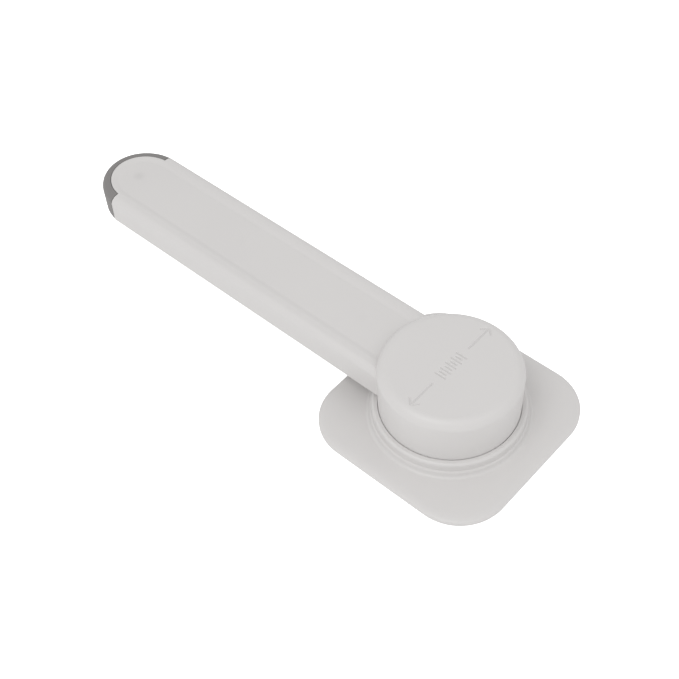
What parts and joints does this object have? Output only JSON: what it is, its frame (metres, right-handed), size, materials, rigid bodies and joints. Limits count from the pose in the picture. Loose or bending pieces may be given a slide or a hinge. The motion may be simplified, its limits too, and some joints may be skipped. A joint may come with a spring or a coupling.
{
  "type": "pivoting lid latch",
  "caption": "Stick-on latch: square base, hub that turns all the way round, long arm over a lid, and a pull-out grip at its tip.",
  "frame": {"origin": "on the arm's pivot axis, at the stuck-down face of the adhesive pad", "axes": "+Z along the pivot axis, away from the surface; the arm lies along -X at rest; +Y completes the right-handed set"},
  "size_m": [0.1933, 0.07, 0.0257],
  "materials": {
    "white_plastic": "fine satin texture",
    "grey_plastic": "fine satin texture",
    "acetal": "smooth natural",
    "foam_tape": "matte foam",
    "zinc_steel": "bright zinc",
    "spring_steel": "drawn wire"
  },
  "bodies": {
    "base": {"adhesive_pad": "foam_tape", "base_plate": "white_plastic", "index_ring": "acetal", "ring_screw_1": "zinc_steel", "ring_screw_2": "zinc_steel", "ring_screw_3": "zinc_steel", "pivot_bush": "acetal"},
    "arm": {"arm_shell": "white_plastic", "arm_cover": "white_plastic", "cover_screw_1": "zinc_steel", "cover_screw_2": "zinc_steel", "cover_screw_3": "zinc_steel", "pivot_screw": "zinc_steel", "retaining_washer": "zinc_steel", "wave_washer": "spring_steel", "return_spring": "spring_steel"},
    "release": {"release_grip": "grey_plastic", "pull_rod": "acetal", "pawl": "acetal", "tip_pin": "zinc_steel", "pawl_pin_1": "zinc_steel", "pawl_pin_2": "zinc_steel"}
  },
  "joints": [
    {"name": "arm_turn", "type": "hinge", "parent": "base", "child": "arm", "pos_m": [0, 0, 0], "axis": [0, 0, 1], "continuous": true},
    {"name": "release_pull", "type": "slide", "parent": "arm", "child": "release", "axis": [-1, 0, 0], "range_m": [0, 0.003], "stiffness_N_per_m": 600, "springref_m": -0.002, "deforming": ["return_spring"]}
  ]
}
